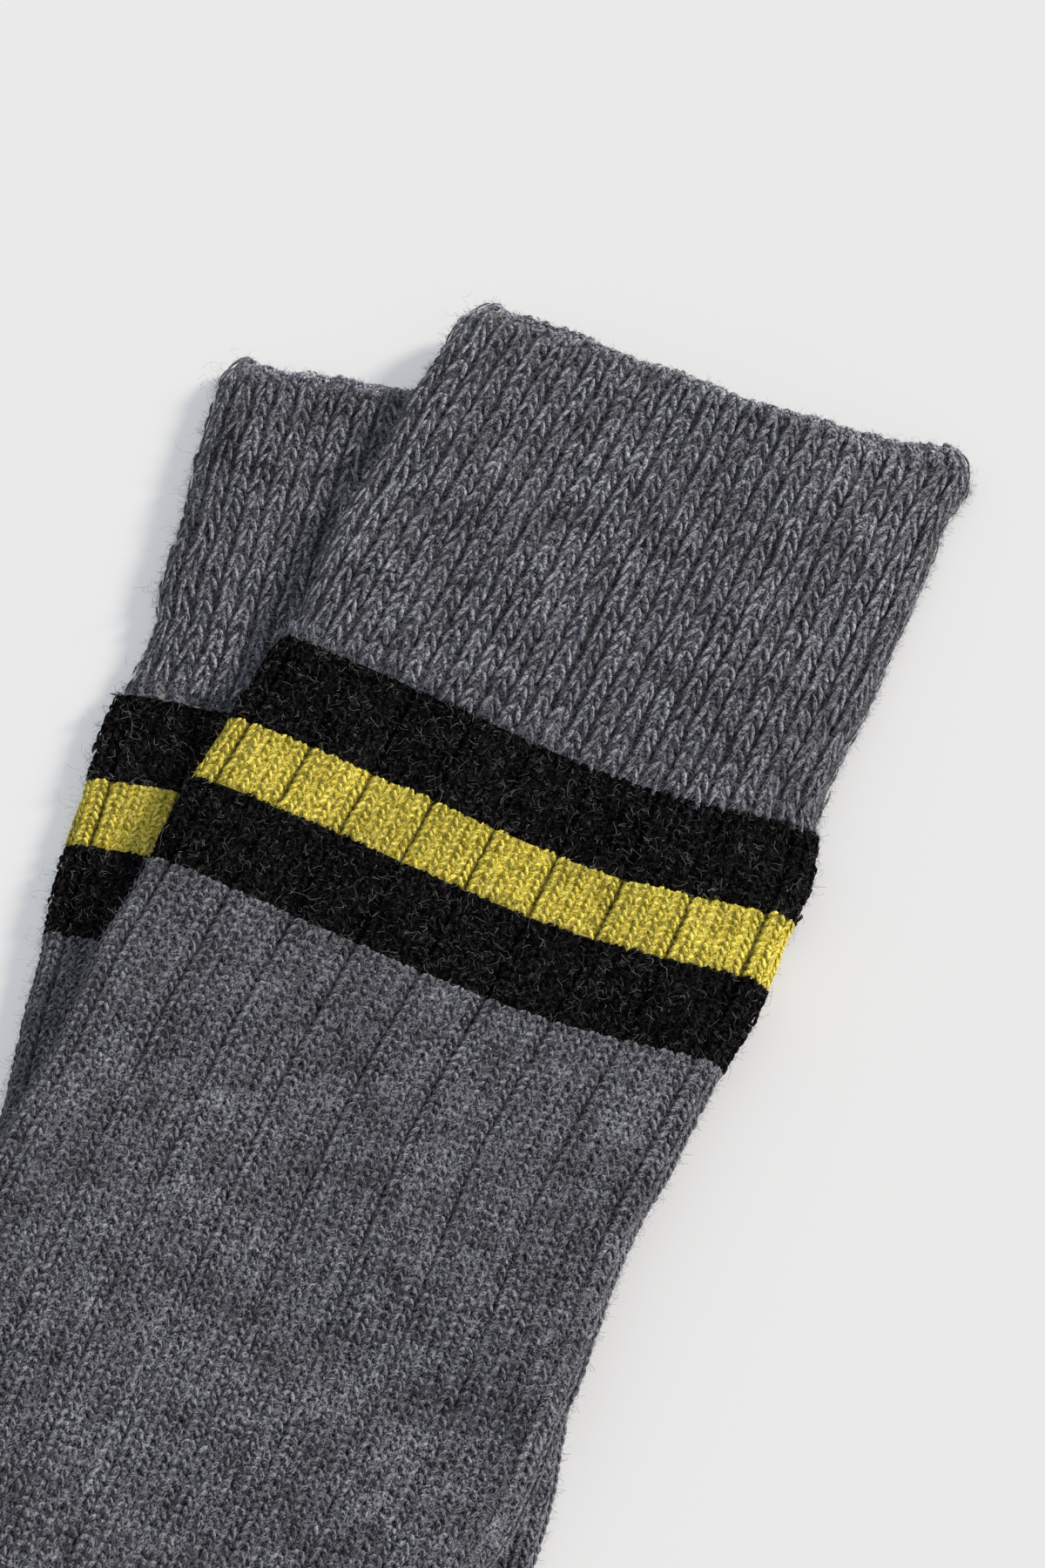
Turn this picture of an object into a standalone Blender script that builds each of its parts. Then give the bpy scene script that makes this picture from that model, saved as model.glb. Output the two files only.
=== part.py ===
"""A pair of wool hiking socks laid flat, the upper one across the lower one.

Each sock is one wall of thick knit, open at the cuff. Rings of points run round the flattened tube, up the
inside from the toe and down the outside from the cuff, with the ribs in the outer points over a plain inside.
A sock is drawn in its own frame: the cuff's top edge lies on the X axis, the leg runs down -Y, the shin and
instep are on the -X side, and the calf, heel and sole are on the +X side.
"""

import math
from collections import namedtuple

import bpy
import numpy as np

MM = 0.001

# Driving dimensions, in millimetres
WALL = 2.2  # one layer of knit
CUFF_THICK = 5.6  # the flattened cuff: two layers and the air between them
BODY_THICK = 5.2  # the same below the cuff
TIP_THICK = 3.2  # at the very end of the toe
CORNER_ROUND = 7.0  # the cuff's top corners, seen from above
REST_GAP = 0.35  # between one sock and the other
DRAPE = 40.0  # how far past the lower sock's edge the upper one comes down to the ground
BOW = 2.2  # the middle of a row lies this much nearer the toe than its ends
TOP_BOW = 4.4  # the same at the cuff's top edge, which sags more

# The knit, counted in stitches round the sock: stitch 0 is on the front edge, and they run over the top
NEEDLES = 108
BACK_EDGE = NEEDLES // 2
MIDDLE = NEEDLES // 4
PANEL = 6  # stitches from one sunk stitch to the next
SUNK_AT = 3  # the stitch of each panel that is sunk
RIB_DEPTH = 0.7
SUNK_DEPTH = 0.6
UNDER_STEP = 3  # the underside is plain, with a point every third stitch
INNER_POINTS = 24

# Where each sock's cuff lies, how far it is turned, and how much its cuff and bands are drawn up along the leg.
# The lower sock comes first.
Sock = namedtuple("Sock", "name turn_deg cuff_x cuff_y drawn")
SOCKS = (
    Sock("sock_lower", -11.0, -6.3, 79.0, 0.925),
    Sock("sock_upper", -22.7, 34.3, 79.6, 1.0),
)

# The leg: where the front and back ends of a row lie, and the steps to the next row
Leg = namedtuple("Leg", "name front_x front_y back_x back_y steps knit yarn")
LEG = (
    Leg("cuff", -47.6, -7.4, 47.9, -3.4, 6, "rib", "grey"),
    Leg("last rib row", -48.0, -81.4, 48.8, -79.9, 1, "rib", "grey"),
    Leg("upper band", -48.0, -82.0, 48.8, -80.5, 2, "panels", "black"),
    Leg("middle band", -48.2, -100.2, 50.0, -98.2, 1, "panels", "lime"),
    Leg("lower band", -48.7, -112.6, 50.2, -111.2, 1, "panels", "black"),
    Leg("calf", -48.9, -129.0, 49.6, -127.8, 2, "panels", "grey"),
    Leg("under the calf", -48.8, -155.0, 47.3, -155.0, 2, "panels", "grey"),
    Leg("shin", -47.6, -180.0, 48.6, -180.0, 2, "panels", "grey"),
    Leg("above the ankle", -44.8, -212.0, 49.6, -212.0, 1, "panels", "grey"),
    Leg("ankle", -43.2, -226.0, 49.4, -226.0, 1, "panels", "grey"),
)
BANDS_END = 128.4  # down the leg

# The heel: rows that fan round the front of the ankle
Heel = namedtuple("Heel", "name front_x front_y back_x back_y steps")
HEEL = (
    Heel("heel top", -43.1, -228.0, 49.5, -229.0, 2),
    Heel("above the heel", -44.6, -241.0, 52.5, -252.0, 2),
    Heel("back of the heel", -47.5, -252.0, 54.0, -274.0, 2),
    Heel("heel corner", -51.0, -258.0, 48.5, -296.0, 3),
    Heel("heel base", -54.6, -262.0, 34.0, -313.0, 2),
    Heel("under the heel", -57.7, -264.3, 13.5, -326.0, 2),
)

# The foot: rows square to the sole, from the ankle's front to the toe
FOOT_ANGLE = math.radians(208.0)
FOOT_START = (-40.4, -304.9)
Foot = namedtuple("Foot", "name along width steps knit")
FOOT = (
    Foot("arch", 0.0, 88.0, 3, "instep"),
    Foot("ball", 70.0, 86.0, 2, "instep"),
    Foot("toe start", 100.0, 83.0, 2, "plain"),
    Foot("toe box", 122.0, 71.0, 3, "plain"),
    Foot("toe round", 138.0, 50.0, 3, "plain"),
    Foot("toe end", 147.0, 22.0, 1, "plain"),
)
TOE_THIN_FROM = 122.0  # along the foot, where the toe starts to get thinner
INNER_END = 138.0  # along the foot, where the hollow ends
TIP_REACH = 1.6  # from the last row to the very tip

YARNS = {
    "grey": ((0.085, 0.086, 0.097), 0.95),
    "black": ((0.009, 0.0085, 0.009), 0.96),
    "lime": ((0.38, 0.30, 0.045), 0.93),
}

Row = namedtuple("Row", "front back thick bow knit yarn hollow")


def foot_points(along, width):
    """The front and back ends of a row across the foot."""
    toward_toe = np.array((math.cos(FOOT_ANGLE), math.sin(FOOT_ANGLE)))
    toward_sole = np.array((-toward_toe[1], toward_toe[0]))
    middle = np.array(FOOT_START) + along * toward_toe
    return middle - toward_sole * width / 2, middle + toward_sole * width / 2


def corner_rows(first):
    """The rows above the first one, drawn in at both ends so that the cuff's corners are round."""
    span = first.back - first.front
    across = span / np.linalg.norm(span)
    toward_top = np.array((-across[1], across[0]))
    for turn in (math.radians(32), math.radians(58)):
        drawn_in = across * CORNER_ROUND * (1 - math.sin(turn))
        rise = toward_top * CORNER_ROUND * math.cos(turn)
        yield first._replace(front=first.front + drawn_in + rise, back=first.back - drawn_in + rise)


def body_stations():
    """(row, steps to the next row) for the leg, the heel and the foot."""
    for leg in LEG:
        thick = CUFF_THICK if leg.knit == "rib" else BODY_THICK
        bow = TOP_BOW if leg is LEG[0] else BOW
        front, back = np.array((leg.front_x, leg.front_y)), np.array((leg.back_x, leg.back_y))
        yield Row(front, back, thick, bow, leg.knit, leg.yarn, True), leg.steps
    for heel in HEEL:
        front, back = np.array((heel.front_x, heel.front_y)), np.array((heel.back_x, heel.back_y))
        yield Row(front, back, BODY_THICK, BOW, "instep", "grey", True), heel.steps
    toe_run = FOOT[-1].along - TOE_THIN_FROM
    for foot in FOOT:
        thinner = max(0.0, foot.along - TOE_THIN_FROM) / toe_run
        thick = BODY_THICK + (TIP_THICK - BODY_THICK) * thinner**2
        front, back = foot_points(foot.along, foot.width)
        yield Row(front, back, thick, BOW, foot.knit, "grey", foot.along <= INNER_END), foot.steps


def between(stations, index, share):
    """The row at this share of the way to the next station, on a smooth curve through all the stations."""
    ends = np.array([np.append(row.front, row.back) for row, _ in stations])
    gaps = np.linalg.norm(np.diff(ends, axis=0), axis=1)

    def slope(at):
        if at == 0:
            return (ends[1] - ends[0]) / gaps[0]
        if at == len(gaps):
            return (ends[-1] - ends[-2]) / gaps[-1]
        before, after = gaps[at - 1], gaps[at]
        into, out = (ends[at] - ends[at - 1]) / before, (ends[at + 1] - ends[at]) / after
        return (into * after + out * before) / (before + after)

    row, following = stations[index][0], stations[index + 1][0]
    span, s = gaps[index], share
    curve = (
        (2 * s**3 - 3 * s**2 + 1) * ends[index]
        + (s**3 - 2 * s**2 + s) * span * slope(index)
        + (3 * s**2 - 2 * s**3) * ends[index + 1]
        + (s**3 - s**2) * span * slope(index + 1)
    )
    thick = row.thick + share * (following.thick - row.thick)
    bow = row.bow + share * (following.bow - row.bow)
    return row._replace(front=curve[:2], back=curve[2:], thick=thick, bow=bow, hollow=following.hollow)


def sock_rows():
    """Every row of a sock, from the cuff to the toe, in the sock's own frame."""
    stations = list(body_stations())
    rows = list(corner_rows(stations[0][0]))
    for index, (row, steps) in enumerate(stations):
        rows.append(row)
        if index + 1 < len(stations):
            rows += [between(stations, index, step / steps) for step in range(1, steps)]
    return rows


def section_point(needle, half, thick):
    """(across, up, outward across, outward up) at this stitch of a flattened tube, measured from its middle."""
    under = needle > BACK_EDGE
    share = (NEEDLES - needle if under else needle) / BACK_EDGE
    radius = thick / 2
    bend = math.pi * radius / 2
    flat = 2 * (half - radius)
    run = share * (2 * bend + flat)
    if run < bend:
        angle = run / radius
        across, up = -math.cos(angle), math.sin(angle)
        point = (across * radius - flat / 2, up * radius)
    elif run > bend + flat:
        angle = (run - bend - flat) / radius
        across, up = math.sin(angle), math.cos(angle)
        point = (across * radius + flat / 2, up * radius)
    else:
        across, up = 0.0, 1.0
        point = (run - bend - flat / 2, radius)
    turned = -1 if under else 1
    return point[0], turned * point[1], across, turned * up


def sunk_stitches(knit):
    """How deep each sunk stitch lies, for the stitches that a row's knit sinks on its upper side."""
    if knit == "rib":
        return {needle: RIB_DEPTH for needle in range(1, BACK_EDGE, 2)}
    last = {"panels": BACK_EDGE, "instep": MIDDLE, "plain": 0}[knit]
    return {needle: SUNK_DEPTH for needle in range(SUNK_AT, last, PANEL)}


def outer_needles(knit):
    """The stitches that a row has a point for: all in the rib, and otherwise those that its form needs."""
    under = set(range(BACK_EDGE + UNDER_STEP, NEEDLES, UNDER_STEP))
    bends = {0, 1, 2, BACK_EDGE - 2, BACK_EDGE - 1, BACK_EDGE}
    bends |= {BACK_EDGE + 1, BACK_EDGE + 2, NEEDLES - 2, NEEDLES - 1}
    if knit == "rib":
        return sorted(under | bends | set(range(BACK_EDGE + 1)))
    sunk = {needle + side for needle in sunk_stitches(knit) for side in (-1, 0, 1)}
    return sorted(under | bends | sunk | set(range(0, BACK_EDGE, PANEL)))


def ring(row, inset, needles, sunk, shift=0.0):
    """[(needle, x, y, z)] round a row, inset from its outer form and moved along the sock by shift."""
    span = row.back - row.front
    half = np.linalg.norm(span) / 2
    across = span / (2 * half)
    along = np.array((across[1], -across[0]))
    middle = (row.front + row.back) / 2 + along * shift
    points = []
    for needle in needles:
        out, up, normal_out, normal_up = section_point(needle, half - inset, row.thick - 2 * inset)
        depth = sunk.get(needle, 0.0)
        bow = along * row.bow * (1 - (out / half) ** 2)
        x, y = middle + across * (out - normal_out * depth) + bow
        points.append((needle, x, y, row.thick / 2 + up - normal_up * depth))
    return points


def sock_rings(rows):
    """[(ring, yarn of the band that follows it)] in one chain: up the inside, over the top edge, down the outside."""
    inner = [step * NEEDLES / INNER_POINTS for step in range(INNER_POINTS)]
    hollow = [row for row in rows if row.hollow]
    chain = [(ring(row, WALL, inner, {}), "grey") for row in hollow[:2:-2]]
    rim = rows[0]
    top = outer_needles("rib")
    chain.append((ring(rim, WALL, inner, {}, shift=WALL / 4), "grey"))
    chain.append((ring(rim, WALL / 2, top, {}, shift=-WALL / 4), "grey"))
    for row in rows:
        chain.append((ring(row, 0.0, outer_needles(row.knit), sunk_stitches(row.knit)), row.yarn))
    return chain


def zipped(first, second, start_first, start_second):
    """Faces that join two closed rings, stitch by stitch, whatever the number of points in each."""
    faces = []
    i = j = 0
    needles = [[point[0] for point in points] + [NEEDLES] for points in (first, second)]

    def corner(start, points, step):
        return start + step % len(points)

    while i < len(first) or j < len(second):
        a, b = corner(start_first, first, i), corner(start_second, second, j)
        following_a = needles[0][i + 1] if i < len(first) else math.inf
        following_b = needles[1][j + 1] if j < len(second) else math.inf
        if following_a == following_b:
            i, j = i + 1, j + 1
            faces.append((a, b, corner(start_second, second, j), corner(start_first, first, i)))
        elif following_a < following_b:
            i += 1
            faces.append((a, b, corner(start_first, first, i)))
        else:
            j += 1
            faces.append((a, b, corner(start_second, second, j)))
    return faces


def tip_point(row, reach):
    """The point that closes the tube past its last row."""
    span = row.back - row.front
    along = np.array((span[1], -span[0])) / np.linalg.norm(span)
    x, y = (row.front + row.back) / 2 + along * reach
    return x, y, row.thick / 2


def sock_mesh_data(rows):
    """(points, faces, yarn of each face) of one sock in its own frame."""
    chain = sock_rings(rows)
    last_hollow = [row for row in rows if row.hollow][-1]
    points, faces, yarns = [tip_point(last_hollow, TIP_REACH)], [], []
    starts = []
    for points_round, _ in chain:
        starts.append(len(points))
        points += [point[1:] for point in points_round]
    count = len(chain[0][0])
    faces += [(0, starts[0] + i, starts[0] + (i + 1) % count) for i in range(count)]
    yarns += ["grey"] * count
    for index in range(len(chain) - 1):
        (first, yarn), (second, _) = chain[index], chain[index + 1]
        made = zipped(first, second, starts[index], starts[index + 1])
        faces += made
        yarns += [yarn] * len(made)
    count, tip = len(chain[-1][0]), len(points)
    points.append(tip_point(rows[-1], TIP_REACH))
    faces += [(starts[-1] + i, tip, starts[-1] + (i + 1) % count) for i in range(count)]
    yarns += ["grey"] * count
    return np.array(points), faces, yarns


def placed(sock, points):
    """Points of the sock's own frame, drawn up, turned and moved to where it lies."""
    turn = math.radians(sock.turn_deg)
    turned = np.array(((math.cos(turn), math.sin(turn)), (-math.sin(turn), math.cos(turn))))
    result = np.array(points, float)
    result[:, 1] += (1 - sock.drawn) * np.clip(-result[:, 1], 0, BANDS_END)
    result[:, :2] = result[:, :2] @ turned + (sock.cuff_x, sock.cuff_y)
    return result


def distance_outside(points, outline):
    """How far each point lies outside a closed outline, and 0 for a point within it."""
    ends = np.roll(outline, -1, axis=0)
    sides = ends - outline
    offsets = points[:, None] - outline
    along = np.clip((offsets * sides).sum(axis=2) / (sides**2).sum(axis=1), 0, 1)
    gaps = np.linalg.norm(offsets - along[..., None] * sides, axis=2).min(axis=1)
    spans = (outline[:, 1] > points[:, None, 1]) != (ends[:, 1] > points[:, None, 1])
    rise = np.where(sides[:, 1] == 0, 1.0, sides[:, 1])
    crossing = outline[:, 0] + offsets[..., 1] / rise * sides[:, 0]
    within = (spans & (points[:, None, 0] < crossing)).sum(axis=1) % 2 == 1
    return np.where(within, 0.0, gaps)


def draped(points, outline):
    """The points raised onto the lower sock, and coming down to the ground past its edge."""
    share = np.clip(1 - distance_outside(points[:, :2], outline) / DRAPE, 0, 1)
    result = points.copy()
    result[:, 2] += (CUFF_THICK + REST_GAP) * share**2 * (3 - 2 * share)
    return result


def yarn_material(name):
    colour, roughness = YARNS[name]
    material = bpy.data.materials.new(f"{name}_wool")
    material.use_nodes = True
    shader = material.node_tree.nodes["Principled BSDF"]
    shader.inputs["Base Color"].default_value = (*colour, 1.0)
    shader.inputs["Roughness"].default_value = roughness
    shader.inputs["Metallic"].default_value = 0.0
    return material


def sock_object(name, points, faces, yarns, materials):
    mesh = bpy.data.meshes.new(name)
    mesh.from_pydata((points * MM).tolist(), [], faces)
    for material in materials.values():
        mesh.materials.append(material)
    slots = {yarn: slot for slot, yarn in enumerate(materials)}
    mesh.polygons.foreach_set("material_index", [slots[yarn] for yarn in yarns])
    mesh.shade_smooth()
    mesh.set_sharp_from_angle(angle=math.radians(50))
    mesh.validate()
    obj = bpy.data.objects.new(name, mesh)
    bpy.context.scene.collection.objects.link(obj)
    return obj


def main():
    for obj in list(bpy.data.objects):
        bpy.data.objects.remove(obj, do_unlink=True)
    rows = sock_rows()
    points, faces, yarns = sock_mesh_data(rows)
    lower, upper = SOCKS
    edge = np.array([row.front for row in rows] + [row.back for row in reversed(rows)])
    outline = placed(lower, edge)
    shapes = {lower.name: placed(lower, points), upper.name: draped(placed(upper, points), outline)}

    every = np.concatenate(list(shapes.values()))
    middle = (every.min(axis=0) + every.max(axis=0)) / 2
    middle[2] = 0.0  # the origin is on the ground, under the middle of the pair
    materials = {yarn: yarn_material(yarn) for yarn in YARNS}
    for name, placed_points in shapes.items():
        sock_object(name, placed_points - middle, faces, yarns, materials)


main()
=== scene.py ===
import math

import bpy
import numpy as np
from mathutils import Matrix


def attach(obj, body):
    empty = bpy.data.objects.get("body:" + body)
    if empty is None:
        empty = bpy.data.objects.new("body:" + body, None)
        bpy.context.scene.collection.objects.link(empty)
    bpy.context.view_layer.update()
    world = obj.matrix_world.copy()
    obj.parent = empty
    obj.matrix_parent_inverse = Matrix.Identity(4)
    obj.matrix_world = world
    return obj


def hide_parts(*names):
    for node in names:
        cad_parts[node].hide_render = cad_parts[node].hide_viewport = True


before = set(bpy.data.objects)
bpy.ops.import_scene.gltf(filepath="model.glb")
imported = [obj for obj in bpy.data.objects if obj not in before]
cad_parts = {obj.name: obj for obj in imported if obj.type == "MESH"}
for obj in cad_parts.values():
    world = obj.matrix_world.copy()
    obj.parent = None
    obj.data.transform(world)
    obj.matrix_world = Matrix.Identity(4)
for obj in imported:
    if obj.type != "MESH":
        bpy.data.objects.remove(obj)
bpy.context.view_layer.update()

# The knitted tubes. Each sock is one tube of thick wool, knitted round and round from the cuff to the toe, and
# lies flat. The lower one lies on the floor. The upper one lies across it and comes down to the floor past it.
# Lengths are in millimetres until the mesh is made.
MM = 0.001
WALL = 2.2  # one layer of knit
LOOP_STAND = 0.42  # the knitted loops stand this far out of the plain tube under them
CUFF_THICK, BODY_THICK, TIP_THICK = 5.6, 5.2, 3.2  # both layers of the flat tube together
CORNER_ROUND, CORNER_TURN = 7.0, math.radians(58)  # how round the cuff's two corners are
REST_GAP, DRAPE = 0.35, 40.0  # between the socks, and how far past the lower sock the upper one comes down
BOW, TOP_BOW = 2.2, 4.4  # how far the middle of a row bows toward the toe
FOOT_ANGLE, FOOT_START = math.radians(208.0), (-40.4, -304.9)
TOE_THIN_FROM, TOE_END = 122.0, 147.0  # the toe gets thinner between these, from the foot's start
TIP_REACH = 1.6  # the toe's closed tip lies this far past the last row

# where a row's two ends lie, as the sock lies with its cuff's edge on the X axis: front x and y, back x and y
LEG_ROWS = (
    (-47.6, -7.4, 47.9, -3.4),  # cuff
    (-48.0, -81.4, 48.8, -79.9),  # last rib row
    (-48.0, -82.0, 48.8, -80.5),  # upper dark band
    (-48.2, -100.2, 50.0, -98.2),  # lime band
    (-48.7, -112.6, 50.2, -111.2),  # lower dark band
    (-48.9, -129.0, 49.6, -127.8),  # calf
    (-48.8, -155.0, 47.3, -155.0),
    (-47.6, -180.0, 48.6, -180.0),
    (-44.8, -212.0, 49.6, -212.0),
    (-43.2, -226.0, 49.4, -226.0),  # ankle
    (-43.1, -228.0, 49.5, -229.0),  # heel
    (-44.6, -241.0, 52.5, -252.0),
    (-47.5, -252.0, 54.0, -274.0),
    (-51.0, -258.0, 48.5, -296.0),
    (-54.6, -262.0, 34.0, -313.0),
    (-57.7, -264.3, 13.5, -326.0),
)
# how far from the foot's start a row lies, and how wide the foot is there
FOOT_ROWS = ((0.0, 88.0), (70.0, 86.0), (100.0, 83.0), (122.0, 71.0), (138.0, 50.0), (147.0, 22.0))
# A station is a row's number down the sock. The cuff's edge is one station above the first row.
RIM, LAST_RIBS, BANDS_FROM, LIME_FROM, DARK_AGAIN, LEG_FROM = -1.0, 1.0, 2, 3, 4, 5
HEEL_FROM, FOOT_FROM, TOE_FROM, LAST_ROW = 10, 16, 18, 21

row_ends = list(LEG_ROWS)
row_thick = [CUFF_THICK if number < BANDS_FROM else BODY_THICK for number in range(len(LEG_ROWS))]
to_toe = np.array((math.cos(FOOT_ANGLE), math.sin(FOOT_ANGLE)))
to_sole = np.array((-to_toe[1], to_toe[0]))
for along, width in FOOT_ROWS:
    centre = np.array(FOOT_START) + along * to_toe
    row_ends.append((*(centre - to_sole * width / 2), *(centre + to_sole * width / 2)))
    thinner = max(0.0, along - TOE_THIN_FROM) / (TOE_END - TOE_THIN_FROM)
    row_thick.append(BODY_THICK + (TIP_THICK - BODY_THICK) * thinner**2)
row_ends, row_thick = np.array(row_ends), np.array(row_thick)
row_bow = np.array([TOP_BOW] + [BOW] * (len(row_ends) - 1))

row_gaps = np.linalg.norm(np.diff(row_ends, axis=0), axis=1)
steps = np.diff(row_ends, axis=0) / row_gaps[:, None]
before, after = row_gaps[:-1, None], row_gaps[1:, None]
inner_slopes = (steps[:-1] * after + steps[1:] * before) / (before + after)
row_slopes = np.concatenate((steps[:1], inner_slopes, steps[-1:]))


def rows_at(t):
    """Front end, back end, thickness and bow of the rows at these stations. Above 0 the corners round off."""
    t = np.asarray(t, float)
    at = np.clip(np.floor(t).astype(int), 0, LAST_ROW - 1)
    s = np.clip(t - at, 0, 1)[..., None]
    span = row_gaps[at][..., None]
    curve = (
        (2 * s**3 - 3 * s**2 + 1) * row_ends[at]
        + (s**3 - 2 * s**2 + s) * span * row_slopes[at]
        + (3 * s**2 - 2 * s**3) * row_ends[at + 1]
        + (s**3 - s**2) * span * row_slopes[at + 1]
    )
    front, back = curve[..., :2], curve[..., 2:]
    turn = math.radians(90) + np.minimum(t, 0)[..., None] * CORNER_TURN
    across = back - front
    across = across / np.linalg.norm(across, axis=-1, keepdims=True)
    up = np.stack((-across[..., 1], across[..., 0]), axis=-1)
    drawn_in = across * CORNER_ROUND * (1 - np.sin(turn))
    rise = up * CORNER_ROUND * np.cos(turn)
    share = s[..., 0]
    thick = row_thick[at] + share * (row_thick[at + 1] - row_thick[at])
    bow = row_bow[at] + share * (row_bow[at + 1] - row_bow[at])
    return front + drawn_in + rise, back - drawn_in + rise, thick, bow


# Needles are counted round the sock: 0 is on the front fold, 27 in the middle of the top, 54 on the back fold
NEEDLES, BACK_FOLD, MIDDLE = 108, 54, 27
PANEL, SUNK_AT = 6, 3  # a panel is six needles wide, and the needle in its middle is a sunk one
RIB_DEPTH, SUNK_DEPTH, SUNK_HALF = 0.7, 0.4, 0.3
LEG_SHALLOWER, SHALLOWER_OVER = 0.5, 2.5  # the sunk stitches lose this share of their depth down the leg


def section_at(needle, half, radius):
    """Across, up, and the outward direction's two parts, at this needle of a flattened tube."""
    needle = np.mod(needle, NEEDLES)
    under = needle > BACK_FOLD
    share = np.where(under, NEEDLES - needle, needle) / BACK_FOLD
    bend, flat = math.pi * radius / 2, 2 * (half - radius)
    run = share * (2 * bend + flat)
    turned = np.clip(run / radius, 0, math.pi / 2)
    falling = np.clip((run - bend - flat) / radius, 0, math.pi / 2)
    n_across = -np.cos(turned) + np.sin(falling)
    n_up = np.where(run < bend + flat / 2, np.sin(turned), np.cos(falling))
    across = n_across * radius + np.clip(run - bend - flat / 2, -flat / 2, flat / 2)
    sign = np.where(under, -1.0, 1.0)
    return across, sign * n_up * radius, n_across, sign * n_up


def off_sunk(needle):
    """How many needles it is to the nearest sunk one."""
    return np.abs(np.mod(needle - SUNK_AT + PANEL / 2, PANEL) - PANEL / 2)


def relief_at(t, needle):
    """How deep the tube is sunk between the cuff's ribs and along the panels' sunk stitches."""
    needle = np.mod(needle + PANEL, NEEDLES) - PANEL
    rib = RIB_DEPTH * (1 - np.cos(math.pi * needle)) / 2
    panel = SUNK_DEPTH * np.exp(-((off_sunk(needle) / SUNK_HALF) ** 2))
    sole = np.clip(t - HEEL_FROM, 0, 1) * (needle > MIDDLE - 1)
    down_leg = 1 - LEG_SHALLOWER * np.clip((t - LEG_FROM) / SHALLOWER_OVER, 0, 1)
    panel = panel * (1 - sole) * np.clip(TOE_FROM - t, 0, 1) * down_leg
    ribbed = np.clip((BANDS_FROM - t) / 0.5, 0, 1)
    return rib * ribbed + panel * (1 - ribbed)


# Soft troughs, listed where wool like this gives: needle, station, half length, half width, depth and
# lean. A depth below zero is a soft swell.
TROUGH_DEPTH, TROUGH_CURVE = 1.3, 0.006
TROUGHS = {
    "sock_upper": (
        (7.3, 0.59, 20, 7.0, 0.65, -43), (12.3, 0.46, 20, 7.0, -0.5, -43), (21.5, 0.62, 20, 5.5, 0.45, 104),
        (33.0, 0.5, 22, 6.0, 0.5, 75), (46.5, 0.55, 24, 6.5, 0.7, 20), (15.0, 2.5, 20, 5.0, 0.4, 95),
        (38.0, 3.2, 18, 5.5, 0.45, 70), (7.0, 5.6, 22, 6.5, 0.6, 40), (24.0, 6.3, 28, 8.0, 0.5, 100),
        (43.0, 7.6, 26, 9.0, 0.95, -17), (16.0, 8.2, 26, 7.5, 0.6, 70), (12.0, 11.0, 24, 6.0, 0.9, 120),
        (22.0, 12.6, 30, 6.5, 0.9, 60), (8.0, 13.8, 20, 5.0, 0.8, 20), (38.0, 12.4, 22, 7.0, 0.6, 85),
        (30.0, 16.5, 30, 8.0, 0.6, 30), (14.0, 17.3, 22, 6.5, 0.5, 140), (40.0, 17.9, 20, 6.0, 0.5, 110),
        (33.0, 1.0, 20, 6.5, 0.55, 5), (10.8, 6.3, 18, 7.0, 0.6, 10), (39.5, 0.36, 20, 7.0, 0.45, -43),
        (44.5, 0.23, 20, 7.0, -0.4, -43),
    ),
    "sock_lower": (
        (5.0, 0.6, 22, 6.0, 0.6, 75), (14.0, 0.9, 20, 5.5, 0.5, 110), (6.0, 2.4, 16, 5.0, 0.4, 60),
        (5.0, 5.8, 22, 6.0, 0.6, 100), (47.0, 7.4, 24, 6.5, 0.6, 60), (49.0, 11.0, 22, 7.0, 0.7, 120),
        (36.0, 13.5, 26, 7.0, 0.7, 30), (44.0, 16.4, 28, 7.0, 0.7, 60), (33.0, 17.6, 24, 7.0, 0.6, 150),
        (22.0, 17.0, 22, 6.5, 0.5, 100),
    ),
}
EDGE_WAVES = ((31.0, 0.35, 0.4), (47.0, 0.3, 2.1), (83.0, 0.4, 4.0))  # length along the leg, height, phase
RIM_WAVES = ((9.0, 0.22, 0.5), (23.0, 0.4, 2.2))  # length along the rim, height, phase
ACROSS = (-48, -36, -24, -12, 0, 12, 24, 36, 48)  # marks across the sock, in millimetres from its middle
COURSE_BOWS = {  # how far the courses bow toward the cuff at those marks: at the rim, and at the bands
    "sock_upper": ((0.6, 1.2, 1.2, 0.3, -1.3, -2.1, -1.9, -0.2, 0.0),
                   (1.8, 1.4, 1.1, 0.1, -1.4, -2.7, -3.1, -2.5, 0.0)),
    "sock_lower": ((0.0, -0.2, 1.0, 1.6, 1.6, 1.6, 1.4, 0.8, 0.0), (1.0,) * len(ACROSS)),
}
BANDS_BOW = {  # stations, and how much of the bands' bow there is at each
    "sock_upper": ((-1.0, 1.2, 3.0, 4.0, 5.0, 8.0), (0.0, 1.0, 0.95, 0.75, 0.65, 0.0)),
    "sock_lower": ((-1.0, 1.0, 2.0, 3.0, 4.0, 5.0, 6.5), (0.0, 1.6, 2.4, 2.0, 0.3, -1.3, 0.0)),
}
STRAIGHT_FOLD = ((RIM, LAST_ROW), (0.0, 0.0))
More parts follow.
